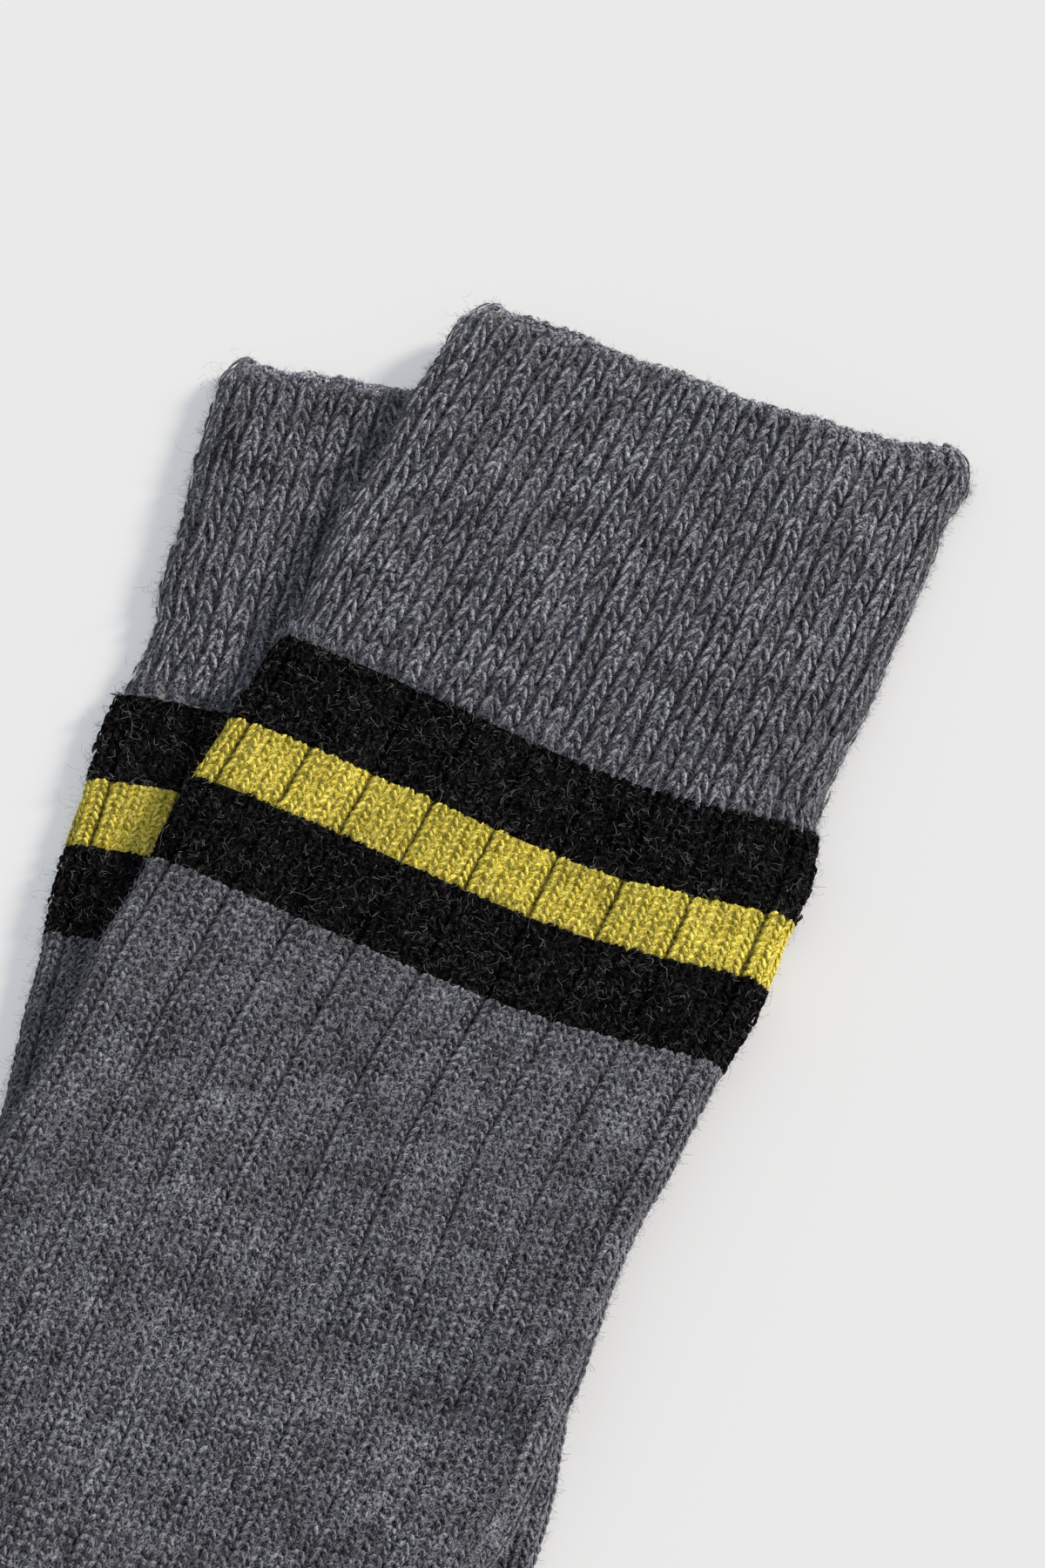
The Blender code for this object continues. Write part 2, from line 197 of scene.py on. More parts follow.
FOLD_SHIFTS = {  # stations, and how far the fold strays outward at each: the front fold, then the back fold
    "sock_upper": (STRAIGHT_FOLD, (
        (-1.0, 0.0, 0.1, 0.5, 0.73, 0.95, 2.0, 2.5, 2.9, 5.0, 5.5, 6.4, 7.0, 7.7, 8.4, 9.5, 10.5),
        (0.0, 0.2, -1.1, -1.1, -1.6, -0.1, 0.6, 1.4, 0.8, 0.8, 1.1, 1.8, 0.2, 0.2, -0.9, -0.5, 0.0))),
    "sock_lower": ((
        (-1.0, 0.1, 0.35, 0.6, 0.76, 0.9, 1.0, 2.3, 3.0, 4.0, 5.0, 5.8, 6.3, 7.0),
        (0.0, 0.0, -1.1, -1.2, -2.3, -0.6, 0.8, 1.3, 0.8, 0.3, -0.3, -1.8, -1.0, 0.0)), STRAIGHT_FOLD),
}
RIM_BOW_TO = 1.2  # the rim's bow dies out down to this station
RIM_WAVES_TO, RIM_WAVES_OVER = 0.6, 1.6  # and the rim's waves down to this one, over so many stations
PEEK_AT, PEEK_HALF, PEEK_REACH = -21.0, 9.0, 2.3  # the layer underneath shows past the cuff's edge there
PEEK_BACK = 0.3  # and the upper layer stands back there by this share of it
CORNER_REACH, CORNER_FROM = 1.9, 0.8  # past this share of the half width the rim reaches out to its corners
SLOPES = ((14.0, 1.3), (6.5, 0.7))  # how wide and how deep the top slopes down to the front and the back fold
# the ledge where the upper sock's under layer looks out past its back fold, and how it grows, ends and steps
LEDGE_FROM, LEDGE_TO, LEDGE_REACH, LEDGE_DROP = 6.3, 11.0, 4.4, 1.2
LEDGE_GROWTH, LEDGE_END, LEDGE_STEP = 1.9, 1.5, 1.3
LEAST_RADIUS = 0.25  # the folds of the inside stay this round
UNDER_RELIEF = 0.4  # the floor side is pressed flat, so its sunk stitches keep this share of their depth


def eased(value, marks, amounts):
    """The amount at each value, read between the marks with rounded corners."""
    value, step = np.asarray(value, float), 0.12 * (marks[-1] - marks[0]) / len(marks)
    return sum(np.interp(value + step * off, marks, amounts) for off in (-2, -1, 0, 1, 2)) / 5


def with_troughs(sock, flat, height, top, outer):
    """The height of the cloth once the sock's soft troughs are pressed into its top."""
    for needle, station, long, wide, deep, lean in TROUGHS[sock["name"]]:
        front, back, _, _ = rows_at(station)
        offset = flat - (front + (back - front) * needle / BACK_FOLD)
        angle = math.radians(lean)
        on = offset[..., 0] * math.cos(angle) + offset[..., 1] * math.sin(angle)
        off = -offset[..., 0] * math.sin(angle) + offset[..., 1] * math.cos(angle)
        off = off + TROUGH_CURVE * on**2
        height = height - TROUGH_DEPTH * deep * np.exp(-((on / long) ** 2) - (off / wide) ** 2) * top * outer
    return height


def tube_points(sock, t, needle, inset=0.0, shift=0.0, stand=0.0):
    """Points of a sock as it lies, at these stations and needles: so far inside the outer face, shifted
    so far toward the toe, and standing so far out."""
    t, needle, inset, shift = np.broadcast_arrays(*(np.asarray(v, float) for v in (t, needle, inset, shift)))
    front, back, thick, bow = rows_at(t)
    span = back - front
    half = np.linalg.norm(span, axis=-1) / 2
    across = span / (2 * half[..., None])
    along = np.stack((across[..., 1], -across[..., 0]), axis=-1)
    radius = np.maximum(thick / 2 - inset, LEAST_RADIUS)
    out, up, n_out, n_up = section_at(needle, half - inset, radius)
    under, top = np.clip(-n_up, 0, 1), np.clip(n_up, 0, 1)
    outer = np.clip(1 - inset / (WALL / 2), 0, 1)
    sunk = relief_at(t, needle) * outer * np.where(n_up < -0.5, UNDER_RELIEF, 1.0)
    loops = np.clip((n_up + 0.75) / 0.5, 0, 1) * outer * LOOP_STAND
    depth = sunk + loops - stand

    # across the sock: the folds run a little uneven
    leg_line = back[..., 1]
    stray = sum(swing * np.sin(leg_line / wave * 2 * math.pi + phase) for wave, swing, phase in EDGE_WAVES)
    front_shift, back_shift = (np.interp(t, *marks) for marks in FOLD_SHIFTS[sock["name"]])
    stray = stray + np.where(out < 0, front_shift, back_shift)
    sideways = out - n_out * depth + stray * np.abs(out / half) ** 5 * np.sign(out)

    # along the sock: the courses bow, and the rim waves, peeks out and reaches out to its corners
    lengthways = bow * (1 - (out / half) ** 2) + shift
    rim_bow, bands_bow = (eased(out, ACROSS, bows) for bows in COURSE_BOWS[sock["name"]])
    rim_share = np.interp(t, (RIM, RIM_BOW_TO), (1.0, 0.0))
    lengthways = lengthways - rim_bow * rim_share - bands_bow * np.interp(t, *BANDS_BOW[sock["name"]])
    near_rim = np.clip((RIM_WAVES_TO - t) / RIM_WAVES_OVER, 0, 1) ** 2
    rim_wave = sum(rise * np.sin(out / wave * 2 * math.pi + phase) for wave, rise, phase in RIM_WAVES)
    peek_share = np.exp(-(((out - PEEK_AT) / PEEK_HALF) ** 2))
    peek = peek_share * (under * PEEK_REACH - (1 - under) * PEEK_BACK * PEEK_REACH)
    corner = CORNER_REACH * (np.clip(np.abs(out / half) - CORNER_FROM, 0, None) / 0.2) ** 2
    lengthways = lengthways - near_rim * (peek + rim_wave * (1 - 2 * under) + corner)
    flat = (front + back) / 2 + across * sideways[..., None] + along * lengthways[..., None]

    # up: the top slopes down to the folds and has soft troughs, and the upper sock has its ledge
    wide, deep = (np.where(out < 0, front_side, back_side) for front_side, back_side in zip(*SLOPES))
    slope = deep * (np.clip(np.abs(out) - (half - wide), 0, None) / wide) ** 2
    raised = np.clip(1 - under * 2, 0, 1) * (up + radius) / (2 * radius)
    height = thick / 2 + up - n_up * depth - slope * raised
    if sock is UPPER:
        reach = LEDGE_REACH * np.clip((t - LEDGE_FROM) / LEDGE_GROWTH, 0, 1)
        reach = reach * np.clip((LEDGE_TO - t) / LEDGE_END, 0, 1)
        past = np.clip((out - (half - reach)) / LEDGE_STEP, 0, 1)
        height = height - LEDGE_DROP * raised * np.clip(reach / 1.5, 0, 1) * past**2 * (3 - 2 * past)
    height = with_troughs(sock, flat, height, top, outer)
    return laid(sock, np.concatenate((flat, height[..., None]), axis=-1))


# Where each cuff lies, how far the sock is turned, and how much its cuff and bands are drawn up
LOWER = {"name": "sock_lower", "turn": math.radians(-11.0), "cuff": (-6.3, 79.0), "drawn": 0.925}
UPPER = {"name": "sock_upper", "turn": math.radians(-22.7), "cuff": (34.3, 79.6), "drawn": 1.0}
BANDS_END = 128.4  # from the cuff's edge, down to which it is drawn up
MIDDLE_OF_PAIR = np.array((-95.923, -88.792, 0.0))


def turned(sock, points):
    """Points of the sock's own frame, drawn up, turned and moved to where it lies."""
    turn = sock["turn"]
    matrix = np.array(((math.cos(turn), math.sin(turn)), (-math.sin(turn), math.cos(turn))))
    result = np.array(points, float)
    result[..., 1] += (1 - sock["drawn"]) * np.clip(-result[..., 1], 0, BANDS_END)
    result[..., :2] = result[..., :2] @ matrix + sock["cuff"]
    return result


def outline_of(sock):
    """The sock's closed outline as it lies, seen from above."""
    front, back, _, _ = rows_at(np.linspace(RIM, LAST_ROW, 177))
    edge = np.concatenate((front, back[::-1]))
    return turned(sock, np.column_stack((edge, np.zeros(len(edge)))))[:, :2]


def distance_outside(points, outline):
    """How far each point lies outside a closed outline; within it, minus the distance to the edge."""
    ends = np.roll(outline, -1, axis=0)
    sides = ends - outline
    lengths = (sides**2).sum(axis=1)
    signed = np.empty(len(points))
    batch = 4000
    for start in range(0, len(points), batch):
        some = points[start : start + batch]
        offsets = some[:, None] - outline
        along = np.clip((offsets * sides).sum(axis=2) / lengths, 0, 1)
        gaps = np.linalg.norm(offsets - along[..., None] * sides, axis=2).min(axis=1)
        spans = (outline[:, 1] > some[:, None, 1]) != (ends[:, 1] > some[:, None, 1])
        rise = np.where(sides[:, 1] == 0, 1.0, sides[:, 1])
        crossing = outline[:, 0] + offsets[..., 1] / rise * sides[:, 0]
        within = (spans & (some[:, None, 0] < crossing)).sum(axis=1) % 2 == 1
        signed[start : start + batch] = np.where(within, -gaps, gaps)
    return signed


lower_outline, upper_outline = outline_of(LOWER), outline_of(UPPER)


def laid(sock, points):
    """The sock turned to where it lies, the upper one raised onto the lower one and coming down past it."""
    result = turned(sock, points)
    if sock is UPPER:
        flat = result[..., :2].reshape(-1, 2)
        share = np.clip(1 - distance_outside(flat, lower_outline) / DRAPE, 0, 1).reshape(result.shape[:-1])
        result[..., 2] += (CUFF_THICK + REST_GAP) * share**2 * (3 - 2 * share)
    return result - MIDDLE_OF_PAIR


ROW_STEP, INNER_STEP = 4.6, 11.0  # between the rows of the plain tube, outside and inside
INSIDE_END = 19.6  # the station where the inside ends, in the toe
RIM_TURNS = (150.0, 120.0, 90.0, 60.0, 30.0)  # degrees round the cuff's rounded edge, from the inside
UV_STEP = 1.5  # needles round the tube, or millimetres along it, in one unit of its UV map
MEASURED_NEEDLES = (3, MIDDLE, 51)  # the rows' distances are measured at these needles
MEASURED_AT = 30  # and the UV map's length along the tube at this point of a ring
BAND_SLOTS = {BANDS_FROM: 1, LIME_FROM: 2, DARK_AGAIN: 1}  # the bands' material slots; the grey wool's is 0
top_needles = np.arange(-3, BACK_FOLD + 3.01, 0.5)
tube_needles = np.concatenate((top_needles, np.arange(BACK_FOLD + 5, NEEDLES - 4, 2)))


def run_along(line):
    """How far along a line each of its points lies."""
    return np.concatenate(([0], np.cumsum(np.linalg.norm(np.diff(line, axis=0), axis=1))))


def rows_down(first, last, spacing):
    """Station values from first to last, about this far apart, with a row at each station between."""
    marks = [first, *range(math.floor(first) + 1, math.ceil(last)), last]
    values = []
    for start, end in zip(marks, marks[1:]):
        lines = tube_points(UPPER, np.linspace(start, end, 9)[:, None], np.array(MEASURED_NEEDLES))
        longest = np.linalg.norm(np.diff(lines, axis=0), axis=-1).sum(axis=0).max()
        values.append(np.linspace(start, end, max(1, round(longest / spacing)) + 1)[:-1])
    return np.append(np.concatenate(values), last)


def tube_rings(sock):
    """Rings of points up the inside from the toe, over the cuff's edge and down the outside to the toe, the
    station of each, and the number of the first ring outside."""
    inside, outside = rows_down(RIM, INSIDE_END, INNER_STEP)[::-1], rows_down(RIM, LAST_ROW, ROW_STEP)
    rings = [tube_points(sock, t, tube_needles, inset=WALL) for t in inside]
    for angle in RIM_TURNS:
        turn = math.radians(angle)
        inset, shift = WALL / 2 * (1 - math.cos(turn)), -WALL / 2 * math.sin(turn)
        rings.append(tube_points(sock, RIM, tube_needles, inset=inset, shift=shift))
    first_outside = len(rings)
    rings += [tube_points(sock, t, tube_needles) for t in outside]
    return rings, [*inside, *[RIM] * len(RIM_TURNS), *outside], first_outside


GAP_SHADE, LIME_GAP_SHADE = 0.66, 0.78  # painted shade: how pale the tube is painted where it shows between the loops
RIM_PAINTED_LIGHT = 2.0  # painted light: the cuff's turned edge is painted paler, and so are the knots on it
EDGE_FROM, EDGE_OVER = -0.75, 0.2  # above this station, over so many, the tube takes the edge's painted light
RIB_SHADOW = 0.45  # how much darker it is between the ribs
BAND_FURROW = 0.15  # painted shade: how pale the sunk stitches are painted in the bands
LEG_FURROW, FURROW_FADE, LAST_FURROW = 0.35, 0.12, 0.7  # and their painted shade on the leg: at first, more each station, at last


def gap_shades(stations, first_outside):
    """Each point's painted shade where the tube shows between the loops, and the edge's painted light."""
    between_ribs = 1 - RIB_SHADOW * (1 - np.cos(math.pi * tube_needles)) / 2
    shades = []
    for ring, t in enumerate(stations):
        shade = LIME_GAP_SHADE if LIME_FROM <= t < DARK_AGAIN else GAP_SHADE
        bare = 1.0 if ring < first_outside else np.clip(EDGE_FROM - t, 0, EDGE_OVER) / EDGE_OVER
        down_leg = min(LEG_FURROW + FURROW_FADE * (t - LEG_FROM), LAST_FURROW)
        furrow = BAND_FURROW if t < LEG_FROM else down_leg
        # the sunk stitches and the space between the ribs get painted shade
        sunk = np.where(off_sunk(tube_needles) < SUNK_HALF, furrow, 1.0) if t >= BANDS_FROM else between_ribs
        pale = RIM_PAINTED_LIGHT if t <= RIM else 1.0
        shades.append((shade + (pale - shade) * bare) * sunk)
    return np.append(np.concatenate(shades), (1.0, GAP_SHADE))


def new_object(name, data):
    """A new object of this name and data, in the scene."""
    obj = bpy.data.objects.new(name, data)
    bpy.context.scene.collection.objects.link(obj)
    return obj


def knit_mesh(name, points, faces, uv_map, uvs):
    """A smooth mesh from points in millimetres, with one UV map."""
    mesh = bpy.data.meshes.new(name)
    mesh.from_pydata((np.array(points) * MM).tolist(), [], faces)
    mesh.uv_layers.new(name=uv_map).uv.foreach_set("vector", np.array(uvs, "f").ravel())
    mesh.shade_smooth()
    return mesh


def tube_object(sock, materials):
    """The closed tube of one sock, both its ends drawn to a point in the toe."""
    rings, stations, first_outside = tube_rings(sock)
    count, last = len(tube_needles), (len(rings) - 1) * len(tube_needles)
    top_and_under = np.array((MIDDLE, MIDDLE + BACK_FOLD))
    outer_tip = tube_points(sock, LAST_ROW, top_and_under, shift=TIP_REACH).mean(axis=0)
    points = np.concatenate([*rings, rings[0].mean(axis=0)[None], outer_tip[None]])
    along = run_along(np.array([ring[MEASURED_AT] for ring in rings])) / UV_STEP
    around = np.append(tube_needles, NEEDLES + tube_needles[0]) / UV_STEP
    faces, slots, uvs = [], [], []
    for ring in range(len(rings) - 1):
        slot = BAND_SLOTS.get(math.floor(stations[ring]), 0) if ring >= first_outside else 0
        slots += [slot] * count
        a, b = ring * count, (ring + 1) * count
        low, high = along[ring], along[ring + 1]
        for i in range(count):
            j = (i + 1) % count
            faces.append((a + i, b + i, b + j, a + j))
            uvs += [(around[i], low), (around[i], high), (around[i + 1], high), (around[i + 1], low)]
    for i in range(count):
        j = (i + 1) % count
        faces += [(i, j, len(points) - 2), (last + i, len(points) - 1, last + j)]
        slots += [0, 0]
        uvs += [(around[i], 0), (around[i + 1], 0), (around[i], -1)]
        uvs += [(around[i], along[-1]), (around[i], along[-1] + 1), (around[i + 1], along[-1])]
    mesh = knit_mesh(f"{sock['name']}_knit", points, faces, "knit", uvs)
    for material in materials:
        mesh.materials.append(material)
    mesh.polygons.foreach_set("material_index", slots)
    shades = gap_shades(stations, first_outside)
    # the painted shade and light go onto the tube's points
    mesh.attributes.new("gap_shade", "FLOAT", "POINT").data.foreach_set("value", shades.astype("f"))
    return new_object(f"{sock['name']}_knit", mesh)


def add_node(tree, kind, settings=None, **inputs):
    """A node of this kind, with its properties from settings and its sockets fed by name or by number."""
    node = tree.nodes.new(kind)
    for name, value in (settings or {}).items():
        setattr(node, name, value)
    for name, value in inputs.items():
        index = int(name[1:]) if name[0] == "i" and name[1:].isdigit() else name.replace("_", " ")
        socket = node.inputs[index]
        if isinstance(value, bpy.types.NodeSocket):
            tree.links.new(value, socket)
        else:
            socket.default_value = value
    return node


def result_of(tree, kind, settings=None, **inputs):
    """The first output of such a node."""
    return add_node(tree, kind, settings, **inputs).outputs[0]


def number(tree, operation, *values):
    """What a Math node makes of these values."""
    fed = {f"i{place}": value for place, value in enumerate(values)}
    return result_of(tree, "ShaderNodeMath", {"operation": operation}, **fed)


def vector(tree, operation, first, second):
    """What a Vector Math node makes of two vectors, or of a vector and the number that scales it."""
    fed = {"Scale" if operation == "SCALE" else "i1": second}
    return result_of(tree, "ShaderNodeVectorMath", {"operation": operation}, i0=first, **fed)


# The look of heather wool: light and dark fibres carded together along each yarn, with loose ones over it
wool = bpy.data.node_groups.new("Carded wool", "ShaderNodeTree")
for name, kind in (("Along yarn", "Vector"), ("Tone", "Float"), ("Body", "Color"), ("Light fibre", "Color"),
                   ("Dark fibre", "Color"), ("Patches", "Float"), ("Shade", "Float")):
    wool.interface.new_socket(name, in_out="INPUT", socket_type=f"NodeSocket{kind}")
for name, kind in (("Colour", "Color"), ("Height", "Float")):
    wool.interface.new_socket(name, in_out="OUTPUT", socket_type=f"NodeSocket{kind}")
given = add_node(wool, "NodeGroupInput").outputs
spot = add_node(wool, "ShaderNodeTexCoord").outputs["Object"]


def noise(at, **inputs):
    """The wool's noise at these places. With a W it has a fourth dimension, so that patterns differ."""
    settings = {"noise_dimensions": "4D"} if "W" in inputs else None
    return add_node(wool, "ShaderNodeTexNoise", settings, Vector=at, **inputs).outputs["Fac"]


def mask_of(value, start, end, to_start=0.0, to_end=1.0):
    """The value's way from start to end, as an amount between the last two."""
    return result_of(wool, "ShaderNodeMapRange", Value=value, From_Min=start, From_Max=end, To_Min=to_start,
                     To_Max=to_end)


def blended(share, first, second, tree=wool):
    """This share of the second colour over the first."""
    return add_node(tree, "ShaderNodeMix", {"data_type": "RGBA"}, i0=share, i6=first, i7=second).outputs[2]


def curled_fibres(shift, scale, width):
    """Thin curled lines over the surface, each broken off after a short run."""
    lines = noise(spot, W=shift, Scale=scale, Detail=1.0, Roughness=0.5, Distortion=0.3)
    off = number(wool, "ABSOLUTE", number(wool, "SUBTRACT", lines, 0.5))
    runs = noise(spot, W=shift + 5.0, Scale=scale * 1.3, Detail=0.0)
    return number(wool, "MULTIPLY", mask_of(off, width, width * 0.3), mask_of(runs, 0.46, 0.56))


shifted = number(wool, "MULTIPLY", given["Tone"], 61.0)
fibres = noise(given["Along yarn"], W=shifted, Scale=1.0, Detail=3.0, Roughness=0.6, Distortion=0.6)
light_curls, dark_curls = curled_fibres(0.0, 850.0, 0.06), curled_fibres(11.0, 1000.0, 0.08)
fine_curls = curled_fibres(23.0, 1500.0, 0.08)
mixed = blended(mask_of(fibres, 0.50, 0.58), given["Body"], given["Light fibre"])
mixed = blended(mask_of(fibres, 0.50, 0.43), mixed, given["Dark fibre"])
for curls, share, colour in ((dark_curls, 0.7, "Dark fibre"), (fine_curls, 0.85, "Light fibre"),
                             (light_curls, 0.9, "Light fibre")):
    mixed = blended(number(wool, "MULTIPLY", curls, share), mixed, given[colour])
patches = mask_of(noise(spot, Scale=150.0, Detail=4.0, Roughness=0.65), 0.32, 0.68, -1.0, 1.0)
broad = mask_of(noise(spot, Scale=38.0, Detail=2.0), 0.3, 0.7, -0.22, 0.22)
toned = mask_of(given["Tone"], 0.0, 1.0, -0.7, 0.7)
varied = number(wool, "ADD", number(wool, "ADD", patches, broad), toned)
# Shade scales the colour: it carries the painted shade between the loops and the edge's painted light, and the
# leg's darker grey
gain = number(wool, "MULTIPLY", number(wool, "MULTIPLY_ADD", varied, given["Patches"], 1.0), given["Shade"])
relief = number(wool, "ADD", fibres, number(wool, "MULTIPLY", light_curls, 0.35))
relief = number(wool, "ADD", relief, number(wool, "MULTIPLY", fine_curls, 0.25))
add_node(wool, "NodeGroupOutput", Colour=vector(wool, "SCALE", mixed, gain), Height=relief)

# linear colours of a yarn's body, its light fibres and its dark ones, its patchiness, its shine and its sheen
YARNS = {
    "grey": ((0.052, 0.055, 0.071), (0.345, 0.36, 0.435), (0.004, 0.004, 0.006), 0.36, 0.12, 0.30),
    "black": ((0.0005, 0.0004, 0.0005), (0.019, 0.018, 0.020), (0.0003, 0.0003, 0.0003), 0.28, 0.01, 0.0),
    "lime": ((0.77, 0.61, 0.040), (0.95, 0.84, 0.19), (0.26, 0.20, 0.012), 0.15, 0.01, 0.04),
}
FIBRE_RELIEF = 0.8


def set_inputs(node, values):
    """Sets these inputs of a node."""
    for label, value in values.items():
        node.inputs[label].default_value = value


def new_material(name):
    """A new material of this name, its tree and its shader."""
    material = bpy.data.materials.new(name)
    material.use_nodes = True
    return material, material.node_tree, material.node_tree.nodes["Principled BSDF"]


def wool_material(name, yarn, along_yarn, depth, shaded=False, shade=1.0):
    """Wool of one yarn. along_yarn gives the socket that runs along the yarn, in the material's own tree."""
    body, light_fibre, dark_fibre, patches, shine, sheen = YARNS[yarn]
    material, tree, shader = new_material(name)
    group = add_node(tree, "ShaderNodeGroup", {"node_tree": wool}, Along_yarn=along_yarn(tree), Shade=shade,
                     Body=(*body, 1), Light_fibre=(*light_fibre, 1), Dark_fibre=(*dark_fibre, 1),
                     Patches=patches)
    # with shaded, the wool reads its painted shade and light from the points of the tube
    carried = {"Tone": "tone", "Shade": "gap_shade"} if shaded else {"Tone": "tone"}
    for label, attribute in carried.items():
        value = add_node(tree, "ShaderNodeAttribute", {"attribute_name": attribute}).outputs["Fac"]
        tree.links.new(value, group.inputs[label])
    height = group.outputs["Height"]
    bump = result_of(tree, "ShaderNodeBump", Height=height, Strength=FIBRE_RELIEF, Distance=depth)
    tree.links.new(group.outputs["Colour"], shader.inputs["Base Color"])
    tree.links.new(bump, shader.inputs["Normal"])
    set_inputs(shader, {"Roughness": 0.92, "Specular IOR Level": shine, "Sheen Weight": sheen,
                        "Sheen Roughness": 0.45})
    return material


def along_tube(tree):
    """The plain tube's yarn: the wale and course numbers, stretched along the yarn."""
    uv = add_node(tree, "ShaderNodeUVMap", {"uv_map": "knit"}).outputs["UV"]
    return vector(tree, "MULTIPLY", uv, (9.0, 2.4, 1.0))


tube_materials = [wool_material(f"{yarn}_tube", yarn, along_tube, 0.0002, shaded=True) for yarn in YARNS]
for sock in (LOWER, UPPER):
    tube = tube_object(sock, tube_materials)
    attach(tube, "root")
    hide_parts(sock["name"])

# The knitted loops. Every stitch shows as two legs of yarn that meet in a point toward the cuff. The cuff is
# knit one, purl one, so a column of large loops stands on each rib, and below it four columns lie between two
# sunk ones. The loops lie along their column, course by course, and overlap the ones below as knitting does.
LOOP_KINDS = {  # a column's width, a course's height, a yarn's half width and height, a leg's sides and rings
    "rib": (2.7, 2.7, 0.43, 0.38, 5, 4),
    "near": (2.40, 1.5, 0.45, 0.30, 4, 3),
    "far": (2.55, 1.5, 0.54, 0.34, 3, 2),
}
# the right leg of a loop: across in column widths, along in courses toward the cuff, and up in yarns
LEG_PATH = np.array(((0.455, -0.76, -0.95), (0.435, -0.42, -0.10), (0.325, 0.02, 0.42), (0.185, 0.39, 0.36),
                     (0.065, 0.73, -0.45)))
LEG_FULLNESS = (0.0, 0.86, 1.0, 0.90, 0.0)
SECOND_LEG_UV = 5.0  # the second leg's place along the UV map


def loop_template(name, width, height, half_yarn, rise, sides, rings):
    """Both legs of one stitch as closed spindles of yarn, with a UV map along and round the yarn."""
    marks = np.linspace(0, 1, len(LEG_PATH))
    along = np.linspace(0, 1, rings + 2)
    path = np.column_stack([np.interp(along, marks, LEG_PATH[:, axis]) for axis in range(3)])
    full = np.interp(along, marks, LEG_FULLNESS)
    points, faces, uvs = [], [], []
    for leg, mirror in enumerate((1, -1)):
        middle = path * (mirror * width, height, rise)
        run = run_along(middle)
        start = len(points)
        points.append(middle[0])
        for ring in range(1, rings + 1):
            slant = middle[ring + 1, :2] - middle[ring - 1, :2]
            slant = slant / np.linalg.norm(slant)
            for step in range(sides):
                angle = math.tau * (step + (0.5 if sides % 2 == 0 else 0.25)) / sides
                wide = math.cos(angle) * half_yarn * full[ring]
                tall = math.sin(angle) * rise * 0.5 * full[ring]
                points.append(middle[ring] + np.array((slant[1] * wide, -slant[0] * wide, tall)))
        points.append(middle[-1])
        tip = len(points) - 1

        def uv(ring, step):
            return leg * SECOND_LEG_UV + run[ring], step / sides * math.tau * half_yarn

        for step in range(sides):
            onward = (step + 1) % sides
            faces.append((start, start + 1 + onward, start + 1 + step))
            uvs += [uv(0, step + 0.5), uv(1, step + 1), uv(1, step)]
            for ring in range(1, rings):
                a, b = start + 1 + (ring - 1) * sides, start + 1 + ring * sides
                faces.append((a + step, a + onward, b + onward, b + step))
                uvs += [uv(ring, step), uv(ring, step + 1), uv(ring + 1, step + 1), uv(ring + 1, step)]
            last = start + 1 + (rings - 1) * sides
            faces.append((last + step, last + onward, tip))
            uvs += [uv(rings, step), uv(rings, step + 1), uv(rings + 1, step + 0.5)]
    return new_object(name, knit_mesh(name, points, faces, "yarn", uvs))


loop_shapes = {kind: loop_template(f"loop_{kind}", *sizes) for kind, sizes in LOOP_KINDS.items()}


def new_tree(name, sockets):
    """A Geometry Nodes tree with these named inputs, each (name, kind, value)."""
    tree = bpy.data.node_groups.new(name, "GeometryNodeTree")
    tree.interface.new_socket("Geometry", in_out="INPUT", socket_type="NodeSocketGeometry")
    for label, kind, value in sockets:
        made = tree.interface.new_socket(label, in_out="INPUT", socket_type=f"NodeSocket{kind}")
        if value is not None:
            made.default_value = value
    tree.interface.new_socket("Geometry", in_out="OUTPUT", socket_type="NodeSocketGeometry")
    return tree


def random_vector(tree, low, high, seed):
    """A random vector between two others on each axis."""
    return result_of(tree, "FunctionNodeRandomValue", {"data_type": "FLOAT_VECTOR"}, i0=low, i1=high, i8=seed)


def around_zero(tree, size, unevenness, seed):
    """A random vector from -size to size, times the unevenness."""
    size = vector(tree, "SCALE", size, unevenness)
    return random_vector(tree, vector(tree, "SCALE", size, -1.0), size, seed)


def point_vector(tree, name):
    """A vector that the points carry."""
    return result_of(tree, "GeometryNodeInputNamedAttribute", {"data_type": "FLOAT_VECTOR"}, Name=name)


def standing(tree, turn):
    """The rotation of what stands on the tube with its Y axis toward the cuff, turned by this much more."""
    upright = result_of(tree, "FunctionNodeAxesToRotation", {"primary_axis": "Z", "secondary_axis": "Y"},
                        i0=point_vector(tree, "outward"), i1=point_vector(tree, "to_cuff"))
    turn = result_of(tree, "FunctionNodeEulerToRotation", i0=turn)
    return result_of(tree, "FunctionNodeRotateRotation", {"rotation_space": "LOCAL"}, i0=upright, i1=turn)


def finish_tree(tree, shape, material):
    """Makes the shape real, gives it its material and puts it out."""
    real = result_of(tree, "GeometryNodeRealizeInstances", Geometry=shape)
    worn = result_of(tree, "GeometryNodeSetMaterial", Geometry=real, Material=material)
    add_node(tree, "NodeGroupOutput", Geometry=worn)


